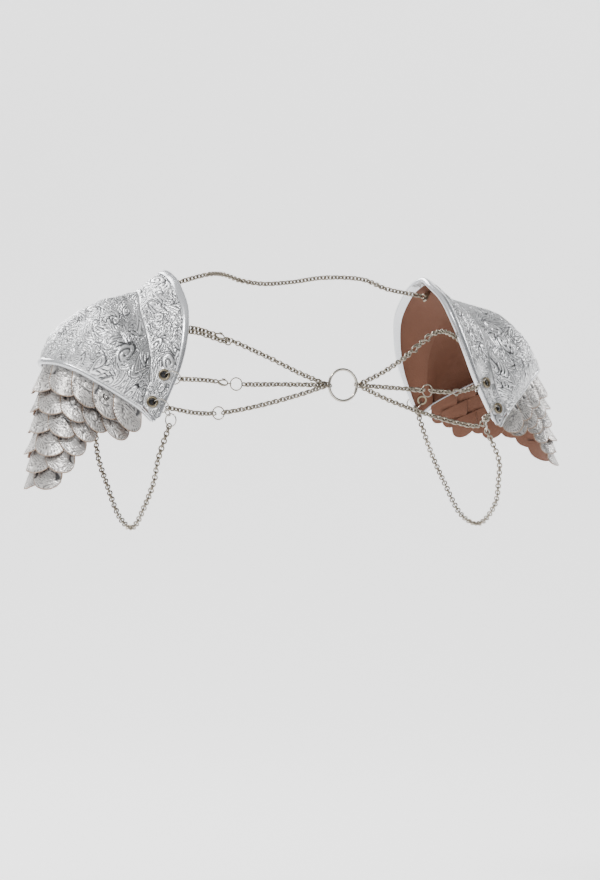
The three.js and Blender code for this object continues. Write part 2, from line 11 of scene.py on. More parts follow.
import bpy
import numpy as np
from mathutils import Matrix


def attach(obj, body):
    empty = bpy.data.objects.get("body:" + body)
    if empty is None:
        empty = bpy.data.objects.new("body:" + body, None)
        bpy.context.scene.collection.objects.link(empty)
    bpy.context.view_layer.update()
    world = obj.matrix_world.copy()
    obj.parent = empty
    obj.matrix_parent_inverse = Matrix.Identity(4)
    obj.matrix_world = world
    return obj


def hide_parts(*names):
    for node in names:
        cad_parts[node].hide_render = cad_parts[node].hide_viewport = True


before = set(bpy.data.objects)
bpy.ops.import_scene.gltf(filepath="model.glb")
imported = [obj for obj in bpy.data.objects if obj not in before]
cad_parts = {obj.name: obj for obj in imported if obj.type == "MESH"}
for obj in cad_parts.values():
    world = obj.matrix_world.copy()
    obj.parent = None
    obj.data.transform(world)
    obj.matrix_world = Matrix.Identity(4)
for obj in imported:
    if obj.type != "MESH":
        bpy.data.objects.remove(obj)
print("CAD nodes are loaded")

# %% [markdown]
# ## Sizes
#
# Millimetres, as in the CAD source. The stations run from the crown line to the front corner, and the
# rear mirrors the front.

# %% Shared sizes
collar_out, corner_reach, rim_reach = 131.7, 42.0, 78.3
half_depth, rim_lead, corner_drop = 75.0, 11.0, 134.0
rim_rise, crown_back, collar_rise = 56.0, 6.0, 12.0
wall, gap, bead_radius = 2.0, 0.3, 2.2
binding_band, binding_leg = 6.5, 1.2
rolled_tall, rolled_thick = 3.1, 2.35
# The pinched dart: its depth and span, and the share and the place along the edge of its middle
dart_depth, dart_span, dart_share, dart_place = 3.2, 30.0, 0.78, 0.4
scale_pitch, scale_length, scale_wall = 20.5, 30.0, 1.2
first_drop, row_pitch, row_gap = 26.0, 17.5, 1.0
petal_width, width_step, petal_wall = 28.5, 1.1, 1.25
chain_radius = 1.6
link_length, link_width, link_wire, link_pitch = 6.1, 5.6, 0.68, 3.35

# Columns: neck out, neck forward, neck drop, rim out, rim forward, rim fall, fullness, seam
stations = np.array([
    [0.000, 0.000, 0.000, 1.000, 0.000, 0.00, 1.00, 0.24],
    [-0.030, 0.200, 0.037, 0.990, 0.070, 0.01, 1.00, 0.27],
    [0.017, 0.453, 0.119, 0.920, 0.250, 0.04, 1.05, 0.33],
    [0.070, 0.707, 0.276, 0.740, 0.440, 0.17, 1.15, 0.38],
    [0.220, 0.845, 0.463, 0.535, 0.610, 0.37, 1.22, 0.42],
    [0.410, 0.907, 0.638, 0.340, 0.760, 0.57, 1.20, 0.52],
    [0.660, 0.935, 0.800, 0.150, 0.890, 0.79, 1.00, 0.92],
    [0.920, 0.955, 0.955, 0.035, 0.972, 0.96, 0.60, 0.92],
])
# Columns: share along the section, lift off its chord
crown_section = np.array([
    [0.00, 0.000], [0.10, 0.014], [0.24, 0.010], [0.38, 0.058], [0.50, 0.102],
    [0.62, 0.124], [0.74, 0.118], [0.85, 0.088], [0.93, 0.050], [1.00, 0.000],
])
seam_along, seam_most = 0.24, 0.9
# Half scales that each row reaches forward and back of the crown line
scale_rows = [(10, 10), (9, 9), (6, 8), (5, 5), (4, 2), (3, 1)]
# sign, drop, dip in degrees, flap lift, flap flare
sides = {"right": (-1, 0.0, 0.0, 0.0, 0.11), "left": (1, -1.0, 4.0, 20.0, 0.2)}

# %% [markdown]
# ## Curves and the shell's surface
#
# Each edge is a centripetal Catmull-Rom curve: between two points it is the cubic whose end slopes come
# from the neighbours, weighted by the square roots of the distances. A point of the shell lies at share
# u of the chord from the neck edge to the rim, and is lifted off it by the section's lift.


# %% Curve and surface functions
def cubic(p1, p2, m1, m2, w):
    """The cubic from p1 with slope m1 to p2 with slope m2, at w from 0 to 1."""
    return p1 + m1 * w + (3 * (p2 - p1) - 2 * m1 - m2) * w**2 + (2 * (p1 - p2) + m1 + m2) * w**3


def catmull(points, t):
    """Centripetal Catmull-Rom curve through points, at each t from 0 to 1. The slopes are differences
    to the neighbours, weighted by the square roots d of the distances."""
    points = np.asarray(points, float)
    t = np.atleast_1d(t)
    ext = np.vstack([2 * points[0] - points[1], points, 2 * points[-1] - points[-2]])
    place = np.clip(t, 0, 1) * (len(points) - 1)
    k = np.minimum(place.astype(int), len(points) - 2)
    w = (place - k)[:, None]
    p0, p1, p2, p3 = ext[k], ext[k + 1], ext[k + 2], ext[k + 3]
    spans = ((p0, p1), (p1, p2), (p2, p3))
    d0, d1, d2 = (np.sqrt(np.linalg.norm(b - a, axis=1))[:, None] for a, b in spans)
    m1 = ((p1 - p0) / d0 - (p2 - p0) / (d0 + d1) + (p2 - p1) / d1) * d1
    m2 = ((p2 - p1) / d1 - (p3 - p1) / (d1 + d2) + (p3 - p2) / d2) * d1
    return cubic(p1, p2, m1, m2, w)


def both_ways(place):
    """Rows from the front corner over the crown line to the rear corner."""
    return np.array([place(row, -1) for row in stations[::-1]] + [place(row, 1) for row in stations[1:]])


neck_points = both_ways(lambda r, way: (
    collar_out + r[0] * corner_reach,
    crown_back + way * r[1] * half_depth,
    collar_rise - r[2] * corner_drop))
rim_points = both_ways(lambda r, way: (
    collar_out + corner_reach + r[3] * rim_reach,
    crown_back + way * r[4] * half_depth - rim_lead * (1 - r[4]),
    collar_rise - corner_drop + (1 - r[5]) * rim_rise))
trait_points = both_ways(lambda r, way: (r[6], r[7], 0))
# The middle of the shoulder, which the shell bulges away from
shoulder = np.array([
    collar_out + corner_reach - 0.08 * rim_reach,
    crown_back + 0.26 * half_depth,
    collar_rise - 0.68 * corner_drop])


def section_table(count=2001):
    """The section as a uniform Catmull-Rom curve of count points: shares and lifts, to be read between."""
    n = len(crown_section)
    ext = np.vstack([crown_section[0], crown_section, crown_section[-1]])
    place = np.linspace(0, n - 1, count)
    k = np.minimum(place.astype(int), n - 2)
    w = (place - k)[:, None]
    p0, p1, p2, p3 = ext[k], ext[k + 1], ext[k + 2], ext[k + 3]
    return cubic(p1, p2, (p2 - p0) / 2, (p3 - p1) / 2, w).T


section_x, section_y = section_table()


def seam_share(t):
    """Share of the section at which the collar ends and the dome begins."""
    return np.minimum(seam_most, catmull(trait_points, t)[:, 1])


def section_length(t):
    """Straight distance from the neck edge to the rim, in mm."""
    return np.linalg.norm(catmull(rim_points, t) - catmull(neck_points, t), axis=1)


def band_width(t):
    """The binding's width: the full band at the crown and 0.62 of it at the corners."""
    return binding_band * (0.62 + 0.38 * np.sin(math.pi * t))


def shell(u, t):
    """Outer face at arrays u and t of one shape: chord point plus lift, less the pinched dart
    exp(-2 a^2 - b^2), where a and b are the distances from its middle in dart spans."""
    u, t = np.broadcast_arrays(np.asarray(u, float), np.asarray(t, float))
    shape = u.shape
    u, t = u.ravel(), t.ravel()
    start = catmull(neck_points, t)
    chord = catmull(rim_points, t) - start
    length = np.linalg.norm(chord, axis=1)
    across = chord / length[:, None]
    away = start + chord / 2 - shoulder
    away -= across * (away * across).sum(1)[:, None]
    away /= np.linalg.norm(away, axis=1)[:, None]
    seam = seam_share(t)
    beyond = seam_along + (u - seam) * (1 - seam_along) / (1 - seam)
    lift = np.interp(np.where(u < seam, u * seam_along / seam, beyond), section_x, section_y)
    lift = lift * length * catmull(trait_points, t)[:, 0]
    a = (u - dart_share) * (rim_reach + corner_reach) / dart_span
    b = (t - dart_place) * 4 * half_depth / dart_span
    lift = lift - dart_depth * np.exp(-2 * a**2 - b**2)
    return (start + chord * u[:, None] + away * lift[:, None]).reshape(shape + (3,))


def unit(v):
    """Vectors divided by their lengths."""
    return v / np.maximum(np.linalg.norm(v, axis=-1, keepdims=True), 1e-9)


def shell_frame(u, t, e=0.004):
    """Point, the directions across and along the shell from its change over e to both sides, and the
    outward normal."""
    u, t = np.broadcast_arrays(np.asarray(u, float), np.asarray(t, float))
    across = unit(shell(np.minimum(u + e, 1), t) - shell(np.maximum(u - e, 0), t))
    along = unit(shell(u, np.minimum(t + e, 1)) - shell(u, np.maximum(t - e, 0)))
    return shell(u, t), across, along, unit(np.cross(across, along))


def arc_lengths(points):
    """Length along a line of points, from its first to each of them."""
    return np.concatenate([[0], np.linalg.norm(np.diff(points, axis=0), axis=1).cumsum()])


def read_along(s, arc, table):
    """Rows of a table with three columns, read at lengths s between its own rows' lengths arc."""
    return np.stack([np.interp(s, arc, table[:, k]) for k in range(3)], -1)


def along_line(points, count=2000):
    """Places and directions along the curve through points, equally spaced by length."""
    dense = catmull(points, np.linspace(0, 1, 2 * count))
    arc = arc_lengths(dense)
    s = np.linspace(0, arc[-1], count)
    place = read_along(s, arc, dense)
    return s, place, unit(np.gradient(place, axis=0))


print("shell top at", np.round(shell(0.0, 0.5), 1))

# %% [markdown]
# ## From arrays to pieces
#
# A wall is two grids of points, an outer and an inner, joined round the four edges. The inner grid has
# no relief and may have fewer columns. A tube is a ring of points carried along a line. Each is flipped
# if its signed volume comes out negative, so that the normals always point outwards.


# %% Mesh builders
# The corners of a quad in the opposite turn
turned = [1, 0, 3, 2]
# Degrees between two faces above which their edge is drawn sharp
sharp_angle = 55


def circle(count):
    """Angles of count equal steps round a circle."""
    return np.arange(count) * 2 * math.pi / count


def side_place(side, points):
    """Mirrors, dips about the collar's top and drops points of the wearer's left shell."""
    sign, drop, dip = sides[side][:3]
    c, s = math.cos(math.radians(dip)), math.sin(math.radians(dip))
    x, y, z = np.moveaxis(np.asarray(points, float), -1, 0)
    y, z = y - crown_back, z - collar_rise
    return np.stack([sign * x, c * y - s * z + crown_back, s * y + c * z + collar_rise - drop], -1)


def grid_quads(rows, columns, first=0, around=False, closed=False):
    """Quads of a grid of points. around closes it from the last column to the first, and closed from
    the last row to the first too."""
    i = np.arange(rows if closed else rows - 1)[:, None]
    j = np.arange(columns if around or closed else columns - 1)[None, :]
    m, n = (i + 1) % rows, (j + 1) % columns
    quads = np.stack([i * columns + j, m * columns + j, m * columns + n, i * columns + n], -1)
    return quads.reshape(-1, 4) + first


def wall_shape(outer, inner):
    """Closed wall between two grids with equal rows: the outer, the inner turned round, a strip down each
    side, and at both ends a strip that joins column j to the inner column nearest to it."""
    rows, columns = outer.shape[:2]
    few = inner.shape[1]
    first = rows * columns
    far = np.arange(rows * columns).reshape(rows, columns)
    back = first + np.arange(rows * few).reshape(rows, few)
    near = np.round(np.arange(columns) * (few - 1) / (columns - 1)).astype(int)
    strips = [
        np.stack([far[1:, 0], far[:-1, 0], back[:-1, 0], back[1:, 0]], 1),
        np.stack([far[:-1, -1], far[1:, -1], back[1:, -1], back[:-1, -1]], 1),
        np.stack([far[-1, 1:], far[-1, :-1], back[-1, near[:-1]], back[-1, near[1:]]], 1),
        np.stack([far[0, :-1], far[0, 1:], back[0, near[1:]], back[0, near[:-1]]], 1)]
    faces = [grid_quads(rows, columns), grid_quads(rows, few, first)[:, turned]]
    return np.vstack([outer.reshape(-1, 3), inner.reshape(-1, 3)]), np.vstack(faces + strips)


def fewer(inner, count):
    """The inner grid with only count of its columns."""
    return inner[:, np.round(np.linspace(0, inner.shape[1] - 1, count)).astype(int)]


def tube_quads(rows, columns):
    """Faces of rings of points joined one to the next, with quads across both open ends."""
    fan = np.arange(columns // 2 - 1)
    lid = np.stack([fan, fan + 1, columns - 2 - fan, columns - 1 - fan], 1)
    return np.vstack([grid_quads(rows, columns, around=True), lid[:, turned], lid + (rows - 1) * columns])


def tube_shape(centres, radius, facets, reference, closed=False):
    """Round tube along a line: centre + radius (cos a . side + sin a . up), where side is the tangent
    crossed with a reference direction. Open ends are closed by quads across them."""
    centres = np.asarray(centres, float)
    tangent = np.roll(centres, -1, 0) - np.roll(centres, 1, 0) if closed else np.gradient(centres, axis=0)
    tangent = unit(tangent)
    side = unit(np.cross(tangent, reference))
    up = np.cross(side, tangent)
    a = circle(facets)
    radius = np.broadcast_to(radius, len(centres))[:, None, None]
    ring = np.cos(a)[None, :, None] * side[:, None] + np.sin(a)[None, :, None] * up[:, None]
    points = (centres[:, None] + radius * ring).reshape(-1, 3)
    if closed:
        return points, grid_quads(len(centres), facets, closed=True)
    return points, tube_quads(len(centres), facets)


def node_points(node):
    """The CAD node's points, in mm."""
    mesh = bpy.data.objects[node].data
    flat = np.empty(3 * len(mesh.vertices), np.float32)
    mesh.vertices.foreach_get("co", flat)
    return np.unique(np.round(flat.reshape(-1, 3) * 1000.0, 3), axis=0)


def signed_volume(points, quads):
    """Six times the volume that the faces enclose: the sum of a x b . c + a x c . d over the quads."""
    a, b, c, d = (points[quads[:, k]] for k in range(4))
    return (np.cross(a, b) * c).sum() + (np.cross(a, c) * d).sum()


def join(shapes):
    """Several (points, quads) as one, each turned outwards first."""
    points, quads, first = [], [], 0
    for p, q in shapes:
        points.append(p)
        quads.append((q if signed_volume(p, q) > 0 else q[:, turned]) + first)
        first += len(p)
    return np.vstack(points), np.vstack(quads)


def added(name, data):
    """A new object in the scene."""
    made = bpy.data.objects.new(name, data)
    bpy.context.scene.collection.objects.link(made)
    return made


def piece(name, shapes, material, nodes, attributes=None):
    """Makes the object, in metres, gives it its finish and puts it in place of its CAD nodes. A quad
    whose last two corners are the same one becomes a triangle."""
    points, quads = join(shapes)
    mesh = bpy.data.meshes.new(name)
    mesh.vertices.add(len(points))
    mesh.vertices.foreach_set("co", (points / 1000).astype(np.float32).ravel())
    kept = np.ones(quads.shape, bool)
    kept[:, 3] = quads[:, 2] != quads[:, 3]
    corners = kept.sum(1)
    mesh.loops.add(int(corners.sum()))
    mesh.loops.foreach_set("vertex_index", quads[kept].astype(np.int32))
    mesh.polygons.add(len(quads))
    mesh.polygons.foreach_set("loop_start", (np.cumsum(corners) - corners).astype(np.int32))
    mesh.update(calc_edges=True)
    mesh.validate()
    mesh.polygons.foreach_set("use_smooth", np.ones(len(mesh.polygons), bool))
    mesh.set_sharp_from_angle(angle=math.radians(sharp_angle))
    for key, values in (attributes or {}).items():
        layer = mesh.attributes.new(key, "FLOAT", "POINT")
        layer.data.foreach_set("value", values.astype(np.float32).ravel())
    mesh.materials.append(material)
    made = added(name, mesh)
    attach(made, "root")
    if nodes:
        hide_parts(*nodes)
    totals.append(int((corners - 2).sum()))
    if len(mesh.polygons) != len(quads):
        print("faces lost:", name, len(quads) - len(mesh.polygons))


totals = []
print("mesh builders are ready")

# %% [markdown]
# ## Finishes
#
# Leather is silver foil over embossed grain. The attribute "groove" is 1 at the bottom of an engraved
# line, where the foil is worn to dark grey, and it also carries painted shade in the eyelet holes and
# where the row above covers a scale. "raw" is 1 on tan cut edges and 2 on the bare brown back.


# %% Materials
def node_material(name, metallic, roughness):
    """A new material, its node tree and its shader with two constants set."""
    material = bpy.data.materials.new(name)
    material.use_nodes = True
    shader = material.node_tree.nodes["Principled BSDF"]
    shader.inputs["Metallic"].default_value = metallic
    shader.inputs["Roughness"].default_value = roughness
    return material, material.node_tree, shader


def bump(tree, shader, scale, distance, detail=3):
    """Fine unevenness from noise in the object's own coordinates."""
    place = tree.nodes.new("ShaderNodeTexCoord")
    noise = tree.nodes.new("ShaderNodeTexNoise")
    noise.inputs["Scale"].default_value = scale
    noise.inputs["Detail"].default_value = detail
    lift = tree.nodes.new("ShaderNodeBump")
    lift.inputs["Strength"].default_value = 0.5
    lift.inputs["Distance"].default_value = distance
    tree.links.new(place.outputs["Object"], noise.inputs["Vector"])
    tree.links.new(noise.outputs["Fac"], lift.inputs["Height"])
    tree.links.new(lift.outputs["Normal"], shader.inputs["Normal"])
    return noise


def mixed(tree, factor, low, high):
    """Colour low where factor is 0 and high where it is 1. Either may be a colour or a socket."""
    mix = tree.nodes.new("ShaderNodeMix")
    mix.data_type = "RGBA"
    tree.links.new(factor, mix.inputs["Factor"])
    for socket, value in ((mix.inputs[6], low), (mix.inputs[7], high)):
        if isinstance(value, tuple):
            socket.default_value = (*value, 1)
        else:
            tree.links.new(value, socket)
    return mix.outputs[2]


def attribute(tree, name):
    """Socket that reads one of the mesh's own attributes."""
    node = tree.nodes.new("ShaderNodeAttribute")
    node.attribute_name = name
    return node.outputs["Fac"]


def calculated(tree, operation, value, constants, clamp=False):
    """Socket with a maths node's result on a value and constants."""
    node = tree.nodes.new("ShaderNodeMath")
    node.operation = operation
    node.use_clamp = clamp
    for slot, constant in enumerate(constants, 1):
        node.inputs[slot].default_value = constant
    tree.links.new(value, node.inputs[0])
    return node.outputs[0]


# Grey of worn foil in the grooves, also used as painted shade; tan cut edges; brown bare back
worn_and_shade_grey, cut_tan, back_brown = (0.055, 0.055, 0.058), (0.27, 0.185, 0.125), (0.1, 0.034, 0.014)


def leather_material(name, light, shade, metallic):
    """Foil colour varied by slow noise, darkened to grey along grooves and where shade is painted, tan and
    then brown where the leather is raw. There it is less metallic, metallic (1 - raw), and rougher,
    0.31 + 0.24 raw."""
    material, tree, shader = node_material(name, metallic, 0.38)
    noise = bump(tree, shader, 900, 0.0005)
    cloud = tree.nodes.new("ShaderNodeTexNoise")
    cloud.inputs["Scale"].default_value = 55
    cloud.inputs["Detail"].default_value = 5
    tree.links.new(noise.inputs["Vector"].links[0].from_socket, cloud.inputs["Vector"])
    raw = attribute(tree, "raw")
    foil = mixed(tree, cloud.outputs["Fac"], light, shade)
    # Worn foil in the grooves, and painted shade under the scale rows and in the eyelet holes, take this
    # grey
    worn_and_shaded = mixed(tree, attribute(tree, "groove"), foil, worn_and_shade_grey)
    cut = mixed(tree, raw, worn_and_shaded, cut_tan)
    tint = mixed(tree, calculated(tree, "SUBTRACT", raw, [1], clamp=True), cut, back_brown)
    metal = calculated(tree, "MULTIPLY_ADD", raw, [-metallic, metallic], clamp=True)
    rough = calculated(tree, "MULTIPLY_ADD", raw, [0.24, 0.31])
    tree.links.new(tint, shader.inputs["Base Color"])
    tree.links.new(metal, shader.inputs["Metallic"])
    tree.links.new(rough, shader.inputs["Roughness"])
    return material


def smooth_material(name, colour, metallic, roughness, scale=500, distance=0.00005):
    """One colour with a faint unevenness of the given scale and height."""
    material, tree, shader = node_material(name, metallic, roughness)
    shader.inputs["Base Color"].default_value = (*colour, 1)
    bump(tree, shader, scale, distance)
    return material


embossed = leather_material("embossed silver leather", (0.95, 0.955, 0.965), (0.63, 0.635, 0.645), 0.9)
scale_leather = leather_material("scale silver leather", (0.84, 0.815, 0.79), (0.54, 0.515, 0.49), 0.74)
binding_leather = smooth_material("smooth silver binding", (0.58, 0.59, 0.61), 0.85, 0.26, 260, 0.0003)
nickel = smooth_material("warm nickel", (0.25, 0.22, 0.175), 1.0, 0.28)
eyelet_nickel = smooth_material("aged nickel", (0.2, 0.17, 0.12), 1.0, 0.3)
dark_wire = smooth_material("dark staple wire", (0.03, 0.028, 0.025), 0.8, 0.35)
ring_nickel = smooth_material("bright nickel", (0.38, 0.355, 0.315), 1.0, 0.2)
print("seven finishes")

# %% [markdown]
# ## Scrollwork
#
# The embossing is a field of scrolls. Seeds lie on a loose grid over the leather, and each point takes
# its nearest seed, with r and angle as its polar coordinates there. Inside the scroll's core the phase
# r / pitch + angle / turn draws one spiral line. Outside it, plumes sweep away at a slant, like the
# fronds of a leaf: their phase is the angle plus a share of log r. Fine curved lines fill what is left,
# and a line runs round each core and between two scrolls. All lines are pressed in.


# %% Relief fields
# Core: least radius, how much larger it may be, its spiral's pitch and line width
core_least, core_more, spiral_pitch, spiral_width = 4.4, 3.6, 3.9, 0.22
# Plumes: reach past the core, how much that varies, line width
plume_reach, plume_vary, plume_width = 7.5, 5.0, 0.26
# Fine filling: pitch and line width
fill_pitch, fill_width = 2.4, 0.25
# The distance between seeds for which these lengths hold, and how deep a line is pressed
drawn_step, groove_depth = 23.0, 0.7


def line(phase, width):
    """1 near whole numbers of phase, falling to 0 at the given width."""
    away = np.abs(phase - np.round(phase))
    return np.clip(1.7 * (1 - away / width), 0, 1)


def nearest_seed(p, q, seed, step):
    """For every point its nearest scroll, the place in that scroll's turned and stretched axes, the
    distance, how much further the second nearest is, and all scrolls' phases and hands."""
    rng = np.random.default_rng(seed)
    # Rows of seeds lie 0.86 steps apart, every second one half a step along, all moved a little
    i, j = np.meshgrid(np.arange(-9, 10), np.arange(-1, 8), indexing="ij")
    sx = (i + 0.5 * (j % 2) + rng.uniform(-0.3, 0.3, i.shape)).ravel() * step
    sy = (j + rng.uniform(-0.3, 0.3, i.shape)).ravel() * step * 0.86
    turn, size, phase = (rng.uniform(a, b, sx.size) for a, b in ((0, 2 * math.pi), (0.7, 1.35), (0, 1)))
    hand = rng.choice([-1, 1], sx.size)
    # A slow sway bends the whole field, so that no two scrolls are alike
    x = p + 3.2 * np.sin(q / 9 + 0.7) + 1.6 * np.sin(p / 5.3 + q / 7)
    y = q + 3.2 * np.sin(p / 11) + 1.4 * np.sin(p / 6.1 - q / 5)
    best = np.full(p.shape, 1e9)
    second, along, beside, owner = best.copy(), best.copy(), best.copy(), np.zeros(p.shape, int)
    for k in range(sx.size):
        c, s = math.cos(turn[k]), math.sin(turn[k])
        a = (c * (x - sx[k]) + s * (y - sy[k])) / size[k]
        b = (c * (y - sy[k]) - s * (x - sx[k])) * 1.45 / size[k]
        d = np.hypot(a, b)
        nearer = d < best
        second = np.where(nearer, best, np.minimum(second, d))
        owner, along, beside = (np.where(nearer, n, o) for n, o in ((k, owner), (a, along), (b, beside)))
        best = np.where(nearer, d, best)
    return owner, along, beside, best, second - best, phase, hand


def scrollwork(p, q, seed, step):
    """Groove depth from 0 to 1 and height in mm at leather coordinates p and q in mm."""
    owner, along, beside, best, border, phase, hand = nearest_seed(p, q, seed, step)
    r = best * drawn_step / step
    angle = hand[owner] * np.arctan2(beside, along)
    core = core_least + core_more * phase[owner]
    # Inside its core a scroll is one fine spiral line
    spiral = line(r / spiral_pitch + angle / (2 * math.pi) + phase[owner], spiral_width) * (r < core)
    # Outside it, plumes: strokes that leave at a slant, longer and shorter in turn, finer further out
    count = np.where(r < 10.5, 11, 19) + 2 * (owner % 2)
    sweep = count * (angle + (0.9 + 0.7 * phase[owner]) * np.log(np.maximum(r, 1))) / (2 * math.pi)
    longer = plume_reach + plume_vary * np.cos(math.pi * np.floor(sweep) * 0.7)
    reach = core + longer * (0.8 + 0.5 * phase[owner])
    plume = line(sweep, plume_width) * np.clip((reach - r) / 1.2, 0, 1) * (r >= core)
    fill = line(r / fill_pitch + 0.3 * np.sin(3 * angle), fill_width) * np.clip((r - reach) / 1.2, 0, 1)
    ring = np.clip(1.5 - np.abs(r - core) / 0.7, 0, 1) * (np.sin(angle + 6 * phase[owner]) > -0.55)
    edge = np.clip(1.5 - border / 0.6, 0, 1) * (np.sin(2 * angle) > 0)
    groove = np.clip(np.maximum.reduce([0.9 * spiral, plume, 0.7 * fill, 0.9 * ring, 0.7 * edge]), 0, 1)
    puff = 0.3 * np.clip(border / 4, 0, 1) + 0.25 * np.sin(r / 2.3)
    return groove, puff - groove_depth * groove


print("one groove is", groove_depth, "mm deep")

# %% [markdown]
# ## Leather panels
#
# Each shoulder has a dome panel and a collar panel that meet at the seam. A panel is a wall between two
# shares of the sections. Its outer face takes the scrollwork, pressed flat beside its edges and round
# the eyelets, the stitched line along the seam and the fold in the crown.


# %% Panels
# The fold's ridge by share and place along the edge, and its heights in mm and widths in places
ridge_shares, ridge_places = [0.59, 0.675, 0.835, 1.0], [0.46, 0.405, 0.338, 0.3]
ridge_lift, ridge_breadth, facet_depth, facet_span = 0.55, 0.09, 3.6, 0.15
# Rows along the panels, columns across each and across their plain inner faces
panel_rows, dome_columns, collar_columns, inner_columns = 488, 165, 84, 14
# Distance between the scrollwork's seeds
dome_step, collar_step = 22.0, 20.0
# Flattened border, flat seat round an eyelet, and its hole's radius and recess, which is also painted dark
# as shade
flat_border, seat_radius, hole_radius, hole_depth = 2.5, 6.0, 3.8, 1.6
# Stitched line: how strongly it shows, its depth and its half width
seam_mark, seam_depth, seam_half = {"right": 0.6, "left": 0.45}, 0.5, 0.8


def fold(u, t):
    """The crown's fold, in mm: a raised ridge line, and behind it a facet that drops and rises again.
    x is the distance behind the ridge in spans of the facet."""
    x = (t - np.interp(u, ridge_shares, ridge_places)) / facet_span
    begin = np.clip((u - 0.57) / 0.12, 0, 1)
    before_rim = np.clip((1.02 - u) / 0.12, 0, 1)
    facet = np.clip((x + 0.04) / 0.14, 0, 1) * np.clip(1 - x, 0, 1) ** 1.5
    crest = ridge_lift * np.exp(-((x + 0.03) / ridge_breadth) ** 2)
    return begin * (crest - facet_depth * facet * before_rim)


def panel(side, kind, start, end, columns, seed, step, seam_end):
    """One leather panel between two shares of the sections: an outer grid pressed with scrollwork, and an
    inner grid one wall thickness below. seam_end tells whether the seam is at the start (0) or at the
    end (1) of its shares."""
    s = np.linspace(0, 1, columns)[None, :]
    breadth = (end - start)[:, None]
    u = start[:, None] + breadth * s
    t = np.broadcast_to(np.linspace(0, 1, len(start))[:, None], u.shape)
    length = section_length(t[:, 0])[:, None]
    point, _, _, normal = shell_frame(u, t)
    arc = arc_lengths(shell(0.5, t[:, 0]))
    p = np.broadcast_to((arc - arc[-1] / 2)[:, None], u.shape)
    groove, height = scrollwork(p, u * length, seed, step)
    # The pattern fades out beside every edge of the panel, where the leather is flattened
    fade = np.clip(np.minimum(s, 1 - s) * breadth * length / flat_border, 0, 1)
    placed_points = side_place(side, point)
    # Each eyelet's hole is pressed down and painted dark, as painted shade
    hole = np.zeros(u.shape)
    for spot in ("front_upper", "front_lower", "rear"):
        centre = node_points(f"{side}_grommet_{spot}").mean(0)
        from_eyelet = np.linalg.norm(placed_points - centre, axis=-1)
        fade = fade * np.clip((from_eyelet - seat_radius) / 1.5, 0, 1)
        hole = np.maximum(hole, np.clip((hole_radius - from_eyelet) / 0.6, 0, 1))
    from_seam = np.abs(s - seam_end) * (breadth * length)
    stitch = seam_mark[side] * np.clip(1.5 - from_seam / seam_half, 0, 1)
    height = height * fade - seam_depth * stitch - hole_depth * hole
    bend = fold(u, t)[..., None] * normal
    outer = point + normal * height[..., None] + bend
    inner = fewer(point - normal * wall + bend, inner_columns)
    shape = wall_shape(side_place(side, outer), side_place(side, inner))
    plain = np.zeros(inner.size // 3)
    # Grooves, the stitched line and the painted shade in the eyelet holes all take the grey
    marks = np.maximum.reduce([groove * fade, stitch, hole]).ravel()
    raw = np.concatenate([np.zeros(u.size), plain + 2])
    values = {"groove": np.concatenate([marks, plain]), "raw": raw}
    node = f"{side}_{kind}_panel"
    piece(f"{side}_{kind}_leather", [shape], embossed, [node], values)


for number, side in enumerate(sides):
    t = np.linspace(0, 1, panel_rows)
    # The dome starts 0.02 mm past the seam, so that no light shows between the panels
    seam, after = seam_share(t), 0.02 / section_length(t)
    panel(side, "dome", seam + after, np.ones(t.size), dome_columns, 11 + 2 * number, dome_step, 0)
    panel(side, "collar", np.zeros(t.size), seam, collar_columns, 12 + 2 * number, collar_step, 1)
print("panels:", totals)

# %% [markdown]
# ## Binding and piping
#
# The binding is a folded strip: two legs lie on the leather and a half-round fold passes over its edge.
# The piping is a rolled band of oval section along the rim. Both keep a smooth foil face.


# %% Binding and piping
binding_rings, piping_rings, piping_facets = 260, 300, 18


def binding_shape(side):
    """A closed outline (x from the edge, y off the leather) carried along the neck edge. The third
    number is the share of the band's width that a point lies inwards."""
    t = np.linspace(0, 1, binding_rings)
    band = band_width(t)
    top = gap + binding_leg
    a = np.linspace(math.pi / 2, 3 * math.pi / 2, 13)
    half = wall / 2 + top
    bent = [(-top * max(0.0, -math.cos(k)), -wall / 2 + half * math.sin(k), 0) for k in a]
    far = [(0, -wall - top, 1), (0, -wall - gap - 0.25, 1), (0, -wall - gap, 0.97)]
    low = [(-gap, -wall - gap, 0), (-gap, gap, 0)]
    near = [(0, gap, 0.97), (0, gap + 0.3, 1), (0, top - 0.35, 1), (0, top, 0.93), (0, top + 0.15, 0.5)]
    under = [(0, -wall - top, 0.5)]
    outline = bent + under + far + low + near
    edge = shell_frame(np.zeros(t.size), t)
    inside = shell_frame(band / section_length(t), t)
    ring = []
    for x, y, share in outline:
        base = edge[0] * (1 - share) + inside[0] * share + edge[1] * x
        ring.append(base + unit(edge[3] * (1 - share) + inside[3] * share) * y)
    grid = side_place(side, np.stack(ring, 1))
    rows, columns = grid.shape[:2]
    points = grid.reshape(-1, 3)
    centre = np.array([grid[0].mean(0), grid[-1].mean(0)])
    k = np.arange(columns)
    n = (k + 1) % columns
    last = (rows - 1) * columns
    middle = np.full(columns, len(points))
    first_lid = np.stack([k, n, middle, middle], 1)
    last_lid = np.stack([n + last, k + last, middle + 1, middle + 1], 1)
    quads = np.vstack([grid_quads(rows, columns, around=True), first_lid, last_lid])
    return np.vstack([points, centre]), quads


def bead_line():
    """Centre of the piping: the rim pushed out by its radius and set to the middle of the wall."""
    t = np.linspace(0, 1, 19)
    point, across, _, normal = shell_frame(np.ones(t.size), t)
    return point + across * (gap + bead_radius) - normal * wall / 2


